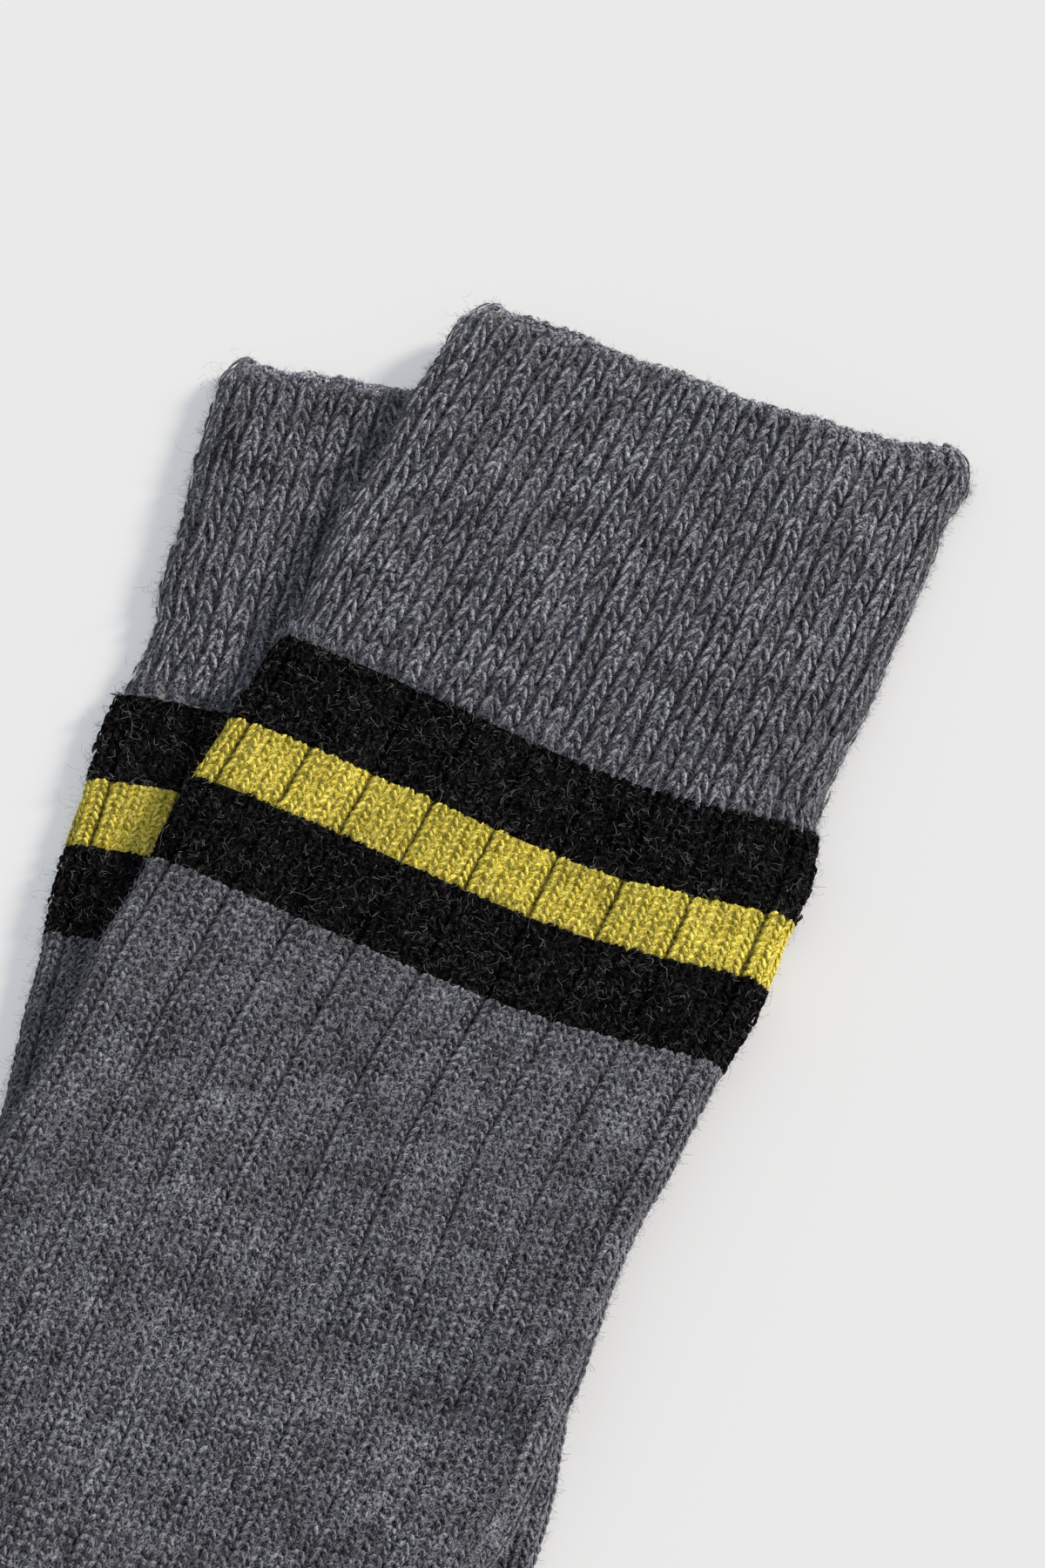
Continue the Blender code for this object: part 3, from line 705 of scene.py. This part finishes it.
# Knit loops: one loop on each point, turned to lie on the tube, a little uneven, then made real in its yarn
LOOP_TURN, LOOP_SWELL = (0.13, 0.17, 0.15), (0.13, 0.11, 0.26)
loops_tree = new_tree("Knit loops", (
    ("Loop", "Object", None), ("Yarn", "Material", None), ("Unevenness", "Float", 1.0), ("Seed", "Int", 0)))
given = add_node(loops_tree, "NodeGroupInput").outputs
turn = around_zero(loops_tree, LOOP_TURN, given["Unevenness"], given["Seed"])
next_seed = number(loops_tree, "ADD", given["Seed"], 1.0)
swell = around_zero(loops_tree, LOOP_SWELL, given["Unevenness"], next_seed)
swell = vector(loops_tree, "ADD", swell, (1.0, 1.0, 1.0))
scale = vector(loops_tree, "MULTIPLY", swell, point_vector(loops_tree, "size"))
loop = add_node(loops_tree, "GeometryNodeObjectInfo", Object=given["Loop"], As_Instance=True)
placed = result_of(loops_tree, "GeometryNodeInstanceOnPoints", Points=given["Geometry"],
                   Instance=loop.outputs["Geometry"], Rotation=standing(loops_tree, turn), Scale=scale)
finish_tree(loops_tree, placed, given["Yarn"])


def made_with(tree, name, mesh, values):
    """The plain mesh that a tree makes from a mesh, as a new piece that rides on the part."""
    source = new_object(f"{name}_points", mesh)
    modifier = source.modifiers.new("knit", "NODES")
    modifier.node_group = tree
    sockets = {item.name: item.identifier for item in tree.interface.items_tree if item.in_out == "INPUT"}
    for label, value in values.items():
        modifier[sockets[label]] = value
    depsgraph = bpy.context.evaluated_depsgraph_get()
    result = bpy.data.meshes.new_from_object(source.evaluated_get(depsgraph), depsgraph=depsgraph)
    source.modifiers.remove(modifier)
    bpy.data.objects.remove(source)
    result.name = name
    piece = new_object(name, result)
    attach(piece, "root")
    return piece


def along_loop(tree):
    """The loop's yarn: fibres that run along it with the slant of its twist."""
    uv = add_node(tree, "ShaderNodeUVMap", {"uv_map": "yarn"}).outputs["UV"]
    twist = result_of(tree, "ShaderNodeVectorRotate", {"rotation_type": "Z_AXIS"}, Vector=uv, Angle=0.38)
    return vector(tree, "MULTIPLY", twist, (2.0, 4.6, 1.0))


YARN_RELIEF = 0.00025
loop_materials = {yarn: wool_material(f"{yarn}_wool_yarn", yarn, along_loop, YARN_RELIEF) for yarn in YARNS}
# the leg's loops are a darker grey; the rim's knots get the edge's painted light
for part, shade in (("leg", 0.67), ("rim", RIM_PAINTED_LIGHT)):
    made = wool_material(f"grey_{part}_yarn", "grey", along_loop, YARN_RELIEF, shade=shade)
    loop_materials[f"grey {part}"] = made

# Columns of loops: a rib stands on every second needle, and four columns fill the space between two sunk ones.
rib_columns = np.arange(-2.0, BACK_FOLD + 2.1, 2.0)
panel_starts = np.arange(SUNK_AT - PANEL, BACK_FOLD, PANEL)
panel_columns = np.concatenate([start + 0.87 + 1.42 * np.arange(4) for start in panel_starts])
plain_columns = np.concatenate([start + 0.75 + 1.5 * np.arange(4) for start in panel_starts])
fold_columns = (plain_columns < 2.9) | (plain_columns > BACK_FOLD - 2.9)
LEG_SPREAD, SPREAD_OVER = 0.65, 2  # down the leg the four columns spread this much, over so many stations
TOE_MARGIN, CORNER_MARGIN = 6.2, 4.0  # a straight column stops this far from the fold


def straight_on(t, out, margin):
    """The needle this far out from the sock's middle at station t, or none within the margin of a fold."""
    front, back, thick, _ = rows_at(t)
    half, radius = np.linalg.norm(back - front, axis=-1) / 2, thick / 2
    bend, flat = math.pi * radius / 2, 2 * (half - radius)
    needle = (out + bend + flat / 2) / (2 * bend + flat) * BACK_FOLD
    return np.where(np.abs(out) > half - margin, np.nan, needle)


def column_needles(t, column):
    """The needle of a column at station t: a panel's four columns spread out on the sole, heel and toe."""
    plain = np.clip(t - HEEL_FROM, 0, 1) * (plain_columns[column] > MIDDLE)
    plain = np.maximum(plain, np.clip(t - TOE_FROM + 1, 0, 1))
    plain = np.maximum(plain, LEG_SPREAD * np.clip((t - LEG_FROM) / SPREAD_OVER, 0, 1))
    needle = panel_columns[column] + plain * (plain_columns[column] - panel_columns[column])
    if fold_columns[column]:
        return needle
    # past the toe's start the columns run on straight, and stop where they meet the ones along the fold
    first, last, _, _ = rows_at(TOE_FROM)
    out, _, _, _ = section_at(plain_columns[column], np.linalg.norm(last - first) / 2, BODY_THICK / 2)
    return np.where(t > TOE_FROM, straight_on(np.maximum(t, TOE_FROM), out, TOE_MARGIN), needle)


def rib_needles(t, column):
    """The needle of a rib at station t: above the first row it runs straight, or ends at the round corner."""
    if column < 3 or column > BACK_FOLD - 3:
        return np.full(len(t), column)
    half = np.linalg.norm(row_ends[0][2:] - row_ends[0][:2]) / 2
    out, _, _, _ = section_at(column, half, CUFF_THICK / 2)
    return np.where(t > 0, column, straight_on(np.minimum(t, 0), out, CORNER_MARGIN))


def on_surface(sock, t, needle, stand=0.0):
    """Points on the outside; from station -1 to -2 the surface turns over the cuff's edge to the inside."""
    turn = np.clip(-1 - np.asarray(t, float), 0, 1) * math.pi
    return tube_points(sock, np.maximum(t, -1), needle, inset=WALL / 2 * (1 - np.cos(turn)),
                       shift=-WALL / 2 * np.sin(turn), stand=stand * np.clip(np.cos(turn), 0, 1))


STATION_STEP = 0.12  # for measuring a column's length
DOWN_STEP, SIDE_STEP = 0.01, 0.4  # stations and needles to either side of a point, for its directions
COLUMN_NEEDLES, RIB_REACH = 1.34, 1.8  # needles to a plain column, and millimetres to a needle of the ribs
NARROWEST, WIDEST = 0.6, 1.25  # of the loops, against their usual width


def directions(side, down):
    """Outward and toward the cuff, as directions, from steps round and down the tube."""
    up = np.cross(side, -down)
    return up / np.linalg.norm(up, axis=1, keepdims=True), -down / np.linalg.norm(down, axis=1, keepdims=True)


def loop_points(sock, first, last, course, columns, ribbed=False):
    """The loops of these columns between two stations: their places, outward, toward the cuff, and size."""
    parts = []
    t = np.arange(first, last + STATION_STEP / 2, STATION_STEP)
    t[-1] = last
    for column in columns:
        needle = rib_needles(t, column) if ribbed else column_needles(t, column)
        filled = np.where(np.isnan(needle), MIDDLE, needle)
        run = run_along(on_surface(sock, t, filled))
        length = run[-1]
        if last <= HEEL_FROM or first >= FOOT_FROM:  # all the columns have as many courses as the middle one
            length = run_along(on_surface(sock, t, np.full(len(t), MIDDLE)))[-1]
        count = round(length / course)
        at = np.interp((np.arange(count) + 0.5) / count * run[-1], run, t)
        at = at[~np.isnan(np.interp(at, t, needle))]
        if len(at) == 0:
            continue
        n = np.interp(at, t, filled)
        near_by = (at + DOWN_STEP, at - DOWN_STEP)
        below, above = (on_surface(sock, station, np.interp(station, t, filled)) for station in near_by)
        side = on_surface(sock, at, n + SIDE_STEP) - on_surface(sock, at, n - SIDE_STEP)
        reach = np.linalg.norm(side, axis=1) / (2 * SIDE_STEP) * (1.0 if ribbed else COLUMN_NEEDLES)
        width = np.clip(reach / (RIB_REACH if ribbed else LOOP_KINDS["near"][0]), NARROWEST, WIDEST)
        size = np.column_stack((width, np.full(len(at), run[-1] / count / course), np.ones(len(at))))
        parts.append((on_surface(sock, at, n), *directions(side, below - above), size))
    return [np.concatenate(part) for part in zip(*parts)]


def spread_points(sock, first, last, low, high, density, rng, stand=0.0):
    """Spots spread at random between two stations and two needles, so many to a square millimetre."""
    rows = np.linspace(first, last, 25)
    front, back, _, _ = rows_at(rows)
    run, width = run_along((front + back) / 2), np.linalg.norm(back - front, axis=1)
    count = round(density * run[-1] * width.mean() * (high - low) / BACK_FOLD)
    t, needle = np.interp(rng.random(count) * run[-1], run, rows), rng.uniform(low, high, count)
    down = on_surface(sock, t + DOWN_STEP, needle) - on_surface(sock, t - DOWN_STEP, needle)
    side = on_surface(sock, t, needle + SIDE_STEP) - on_surface(sock, t, needle - SIDE_STEP)
    return on_surface(sock, t, needle, stand=stand), *directions(side, down)


def in_sight(sock, place, above, past):
    """Which points are so far above the floor and, on the lower sock, so far past the upper sock's edge."""
    clear = place[:, 2] > above
    if sock is LOWER:
        clear &= distance_outside(place[:, :2] + MIDDLE_OF_PAIR[:2], upper_outline) > past
    return clear


def point_mesh(name, place, vectors, rng, streak=0):
    """A mesh of points that carry these vectors and a tone of yarn each, alike over a streak of points."""
    mesh = bpy.data.meshes.new(f"{name}_points")
    mesh.from_pydata((place * MM).tolist(), [], [])
    for label, values in vectors.items():
        carried = mesh.attributes.new(label, "FLOAT_VECTOR", "POINT").data
        carried.foreach_set("vector", values.astype("f").ravel())
    tone = rng.random(len(place))
    if streak:
        shared = np.convolve(rng.normal(0, 1, len(place)), np.hanning(streak), "same")
        tone = np.clip(0.5 + 0.6 * (tone - 0.5) + 0.2 * shared / shared.std(), 0, 1)
    mesh.attributes.new("tone", "FLOAT", "POINT").data.foreach_set("value", tone.astype("f"))
    return mesh


LOOP_SHIFT = 0.14  # how far a loop strays from its place
TONE_STREAK = 14  # so many loops after each other are alike in tone
LOOPS_ABOVE, LOOPS_PAST = 1.4, -3.0  # the floor side and the part under the upper sock have no loops


def loops_piece(sock, name, kind, yarn, seed, parts, unevenness=1.0):
    """One piece of loops of one yarn from the points that loop_points gave."""
    place, outward, to_cuff, size = (np.concatenate(part) for part in zip(*parts))
    seen = in_sight(sock, place, LOOPS_ABOVE, LOOPS_PAST)
    place, vectors = place[seen], {"outward": outward[seen], "to_cuff": to_cuff[seen], "size": size[seen]}
    rng = np.random.default_rng(seed)
    place = place + rng.normal(0, LOOP_SHIFT * unevenness, place.shape)
    piece = made_with(loops_tree, name, point_mesh(name, place, vectors, rng, TONE_STREAK), {
        "Loop": loop_shapes[kind], "Yarn": loop_materials[yarn], "Unevenness": unevenness, "Seed": seed})
    return piece


KNOT_DENSITY = 2.2  # knots to a square millimetre
KNOTS_FROM, KNOTS_TO, KNOT_SPIN = -1.45, -0.88, 1.1
KNOT_SIZES = ((0.5, 0.45, 0.6), (0.8, 0.75, 1.1))  # the smallest and the largest, against a loop


def rim_knots(sock, seed):
    """Small knots of yarn over the cuff's turned edge, where the ribs bend over it."""
    rng = np.random.default_rng(seed)
    span = (KNOTS_FROM, KNOTS_TO, 1.5, BACK_FOLD - 1.5, KNOT_DENSITY)
    place, outward, to_cuff = spread_points(sock, *span, rng)
    spin = rng.uniform(-KNOT_SPIN, KNOT_SPIN, (len(place), 1))
    to_cuff = to_cuff * np.cos(spin) + np.cross(outward, to_cuff) * np.sin(spin)
    return place, outward, to_cuff, rng.uniform(*KNOT_SIZES, (len(place), 3))


RIB_COURSE, BAND_COURSE, LEG_COURSE = 2.7, 1.4, 1.57  # heights of a course
CUFF_LOOPS_FROM, FOOT_LOOPS_TO = -0.97, 20.6


def all_columns(sock, course, *stations):
    """The loops of every column below the cuff, between each of these stations and the next."""
    every = range(len(panel_columns))
    return [loop_points(sock, first, last, course, every) for first, last in zip(stations, stations[1:])]


for sock, seed in ((LOWER, 100), (UPPER, 200)):
    name = sock["name"]
    cuff = [loop_points(sock, CUFF_LOOPS_FROM, BANDS_FROM, RIB_COURSE, rib_columns, ribbed=True)]
    knots = [rim_knots(sock, seed)]
    dark = all_columns(sock, BAND_COURSE, BANDS_FROM, LIME_FROM)
    dark += all_columns(sock, BAND_COURSE, DARK_AGAIN, LEG_FROM)
    lime = all_columns(sock, BAND_COURSE, LIME_FROM, DARK_AGAIN)
    leg = all_columns(sock, LEG_COURSE, LEG_FROM, HEEL_FROM)
    foot = all_columns(sock, LEG_COURSE, HEEL_FROM, FOOT_FROM, FOOT_LOOPS_TO)
    loops_piece(sock, f"{name}_cuff_loops", "rib", "grey", seed + 1, cuff, unevenness=1.1)
    # the knots over the cuff's edge wear the rim yarn, with painted light
    loops_piece(sock, f"{name}_rim_knots", "far", "grey rim", seed + 2, knots, unevenness=0.4)
    loops_piece(sock, f"{name}_dark_loops", "near", "black", seed + 3, dark)
    loops_piece(sock, f"{name}_lime_loops", "near", "lime", seed + 4, lime, unevenness=0.7)
    loops_piece(sock, f"{name}_leg_loops", "near", "grey leg", seed + 5, leg, unevenness=0.5)
    loops_piece(sock, f"{name}_foot_loops", "far", "grey leg", seed + 6, foot)
for shape in loop_shapes.values():
    bpy.data.objects.remove(shape)

# The loose fibres. Fine curled fibres stand off the wool: pale ones show on the dark bands, and longer ones
# stick out past the folds and the cuffs' edges. Each is one thin fibre, held in the knit at its root.
hairs_tree = new_tree("Wool hairs", (
    ("Fibre", "Material", None), ("Shortest", "Float", 0.001), ("Longest", "Float", 0.002),
    ("Lean from", "Float", 0.5), ("Lean to", "Float", 1.5), ("Curl", "Float", 0.003),
    ("Curls per metre", "Float", 800.0), ("Half thickness", "Float", 0.00003), ("Joints", "Int", 6),
    ("Seed", "Int", 0)))
given = add_node(hairs_tree, "NodeGroupInput").outputs
least = result_of(hairs_tree, "ShaderNodeCombineXYZ", X=given["Lean from"])
most = result_of(hairs_tree, "ShaderNodeCombineXYZ", X=given["Lean to"], Z=math.tau)
lean = random_vector(hairs_tree, least, most, given["Seed"])
length = add_node(hairs_tree, "FunctionNodeRandomValue", {"data_type": "FLOAT"}, i2=given["Shortest"],
                  i3=given["Longest"], i8=number(hairs_tree, "ADD", given["Seed"], 1.0)).outputs[1]
stem = result_of(hairs_tree, "GeometryNodeCurvePrimitiveLine", Start=(0.0, 0.0, 0.0), End=(0.0, 0.0, 1.0))
joints = given["Joints"]
stem = result_of(hairs_tree, "GeometryNodeResampleCurve", {"mode": "COUNT"}, Curve=stem, Count=joints)
placed = result_of(hairs_tree, "GeometryNodeInstanceOnPoints", Points=given["Geometry"], Instance=stem,
                   Rotation=standing(hairs_tree, lean), Scale=length)
straight = result_of(hairs_tree, "GeometryNodeRealizeInstances", Geometry=placed)
spot = result_of(hairs_tree, "GeometryNodeInputPosition")
swirl = add_node(hairs_tree, "ShaderNodeTexNoise", Vector=spot, Scale=given["Curls per metre"], Detail=0.0)
swirl = vector(hairs_tree, "SUBTRACT", swirl.outputs["Color"], (0.5, 0.5, 0.5))
share = add_node(hairs_tree, "GeometryNodeSplineParameter").outputs["Factor"]
swirl = vector(hairs_tree, "SCALE", swirl, number(hairs_tree, "MULTIPLY", share, given["Curl"]))
curled = result_of(hairs_tree, "GeometryNodeSetPosition", Geometry=straight, Offset=swirl)
above_floor = vector(hairs_tree, "MAXIMUM", spot, (-1.0, -1.0, 0.0001))
curled = result_of(hairs_tree, "GeometryNodeSetPosition", Geometry=curled, Position=above_floor)
section = result_of(hairs_tree, "GeometryNodeCurvePrimitiveCircle", Resolution=3, i4=given["Half thickness"])
solid = result_of(hairs_tree, "GeometryNodeCurveToMesh", Curve=curled, Profile_Curve=section, Fill_Caps=True)
finish_tree(hairs_tree, solid, given["Fibre"])

FIBRES = {  # colours of the darkest and the palest loose fibres on each yarn
    "grey": ((0.05, 0.05, 0.055), (0.62, 0.63, 0.66)),
    "black": ((0.004, 0.004, 0.004), (0.42, 0.42, 0.43)),
    "lime": ((0.24, 0.20, 0.02), (0.98, 0.88, 0.22)),
    # painted light: the edge fibres are paler than the grey ones, for light shining through them
    "edge": ((0.20, 0.20, 0.22), (0.80, 0.81, 0.84)),
}
hair_materials = {}
for yarn, (darkest, palest) in FIBRES.items():
    hair_materials[yarn], tree, shader = new_material(f"{yarn}_wool_hair")
    tone = add_node(tree, "ShaderNodeAttribute", {"attribute_name": "tone"}).outputs["Fac"]
    mostly_dark = number(tree, "POWER", tone, 2.8)
    colour = blended(mostly_dark, (*darkest, 1), (*palest, 1), tree)
    tree.links.new(colour, shader.inputs["Base Color"])
    set_inputs(shader, {"Roughness": 0.7, "Specular IOR Level": 0.2})

HAIR_ROOT = 0.5  # the roots stand this far out of the tube, in the tops of the loops
HAIRS_ABOVE, HAIRS_PAST = 0.8, 1.0


def hairs_piece(sock, name, yarn, seed, spans, values):
    """One piece of loose fibres. A span is first and last station, low and high needle, and density."""
    rng = np.random.default_rng(seed)
    spread = [spread_points(sock, *span, rng, HAIR_ROOT) for span in spans]
    place, outward, to_cuff = (np.concatenate(part) for part in zip(*spread))
    seen = in_sight(sock, place, HAIRS_ABOVE, HAIRS_PAST)
    mesh = point_mesh(name, place[seen], {"outward": outward[seen], "to_cuff": to_cuff[seen]}, rng)
    piece = made_with(hairs_tree, name, mesh, {"Fibre": hair_materials[yarn], "Seed": seed, **values})
    return piece


short = {"Shortest": 0.0004, "Longest": 0.0012, "Lean from": 0.9, "Lean to": 1.5, "Curl": 0.0042,
         "Curls per metre": 1100.0, "Half thickness": 0.000021, "Joints": 4}
fuzz = {"Shortest": 0.0003, "Longest": 0.0009, "Lean from": 0.6, "Lean to": 1.5, "Curl": 0.0036,
        "Curls per metre": 1100.0, "Half thickness": 0.000017, "Joints": 3}
stray = {"Shortest": 0.0014, "Longest": 0.0042, "Lean from": 0.1, "Lean to": 1.2, "Curl": 0.0085,
         "Curls per metre": 560.0, "Half thickness": 0.000014, "Joints": 10}
FUZZY_TO = 8.0  # the short fibres end at this station, above the ankle
for sock, seed in ((LOWER, 300), (UPPER, 400)):
    name = sock["name"]
    bands = [(first, last, -1, 55, density) for first, last, density in (
        (BANDS_FROM - 0.01, LIME_FROM + 0.02, 1.3), (DARK_AGAIN - 0.02, LEG_FROM + 0.01, 1.3),
        (LAST_RIBS - 0.02, LAST_RIBS, 0.9), (LIME_FROM, LIME_FROM + 0.1, 0.6),
        (DARK_AGAIN - 0.1, DARK_AGAIN, 0.6), (LEG_FROM, LEG_FROM + 0.06, 0.9))]
    lime = [(LIME_FROM, DARK_AGAIN, -2, 56, 0.9)]
    grey = [(-0.95, BANDS_FROM, -1, 55, 0.65), (LEG_FROM, FUZZY_TO, -1, 55, 0.34)]
    # the fibres on the edges and the ledge wear the paler edge colours, painted light
    edges = [(-1.6, -0.9, 1, 53, 5.0), (-0.9, BANDS_FROM, -2, 1, 2.8), (-0.9, BANDS_FROM, 53, 56, 3.4),
             (LEG_FROM, FUZZY_TO + 0.5, -2, 1, 1.2), (LEG_FROM, FUZZY_TO + 0.5, 53, 56, 1.6)]
    if sock is UPPER:
        edges.append((LEDGE_FROM + 0.4, 9.2, 50.4, 52.6, 3.6))
    folds = [(-0.9, 9.0, -2.0, 0.8, 0.20 if sock is LOWER else 0.05), (-0.95, 7.0, -1, 50, 0.008)]
    hairs_piece(sock, f"{name}_dark_hairs", "black", seed + 1, bands, short)
    hairs_piece(sock, f"{name}_lime_hairs", "lime", seed + 2, lime, fuzz)
    hairs_piece(sock, f"{name}_grey_hairs", "grey", seed + 3, grey, {**short, "Joints": 3})
    hairs_piece(sock, f"{name}_edge_hairs", "edge", seed + 5, edges, fuzz)
    hairs_piece(sock, f"{name}_stray_hairs", "grey", seed + 4, folds, stray)

# The floor: a plain pale studio floor, lit a little from below so that shadows on it stay faint
FLOOR_HALF = 4.0
corners = [(x * FLOOR_HALF, y * FLOOR_HALF, 0.0) for x, y in ((-1, -1), (1, -1), (1, 1), (-1, 1))]
floor_mesh = bpy.data.meshes.new("studio_floor")
floor_mesh.from_pydata(corners, [], [(0, 1, 2, 3)])
floor = new_object("studio_floor", floor_mesh)
floor_material, _, floor_shader = new_material("pale_floor")
set_inputs(floor_shader, {"Base Color": (0.50, 0.50, 0.50, 1), "Emission Color": (0.915, 0.95, 1.0, 1),
                          "Emission Strength": 0.338, "Roughness": 1.0, "Specular IOR Level": 0.0})
floor_mesh.materials.append(floor_material)

# Studio light: a broad soft key from the right and the far side, and a cool even fill from all round
KEY_STRENGTH, KEY_AZIMUTH, KEY_ELEVATION, KEY_SOFTNESS = 4.05, 66.0, 25.0, 12.0
key = bpy.data.lights.new("key", "SUN")
key.energy, key.angle, key.color = KEY_STRENGTH, math.radians(KEY_SOFTNESS), (1.0, 0.90, 0.79)
new_object("key", key).rotation_euler = (0, math.radians(90 - KEY_ELEVATION), math.radians(90 - KEY_AZIMUTH))
world = bpy.data.worlds.new("fill")
world.use_nodes = True
set_inputs(world.node_tree.nodes["Background"], {"Color": (0.92, 0.96, 1.0, 1), "Strength": 0.54})
bpy.context.scene.world = world
bpy.context.scene.view_settings.view_transform = "Standard"

# The camera looks down on the cuffs from the toes' side, as in the photograph
TARGET, ELEVATION, DISTANCE = (0.09592, 0.08879, 0.0), math.radians(57.0), 0.612
back_off, up_off = DISTANCE * math.cos(ELEVATION), DISTANCE * math.sin(ELEVATION)
camera = bpy.data.cameras.new("camera")
camera.lens, camera.sensor_width = 85.0, 36.0
camera.clip_start, camera.clip_end = 0.01, 50.0
camera_object = new_object("camera", camera)
camera_object.location = (TARGET[0], TARGET[1] - back_off, up_off)
camera_object.rotation_euler = (math.radians(90) - ELEVATION, 0, 0)
bpy.context.scene.camera = camera_object
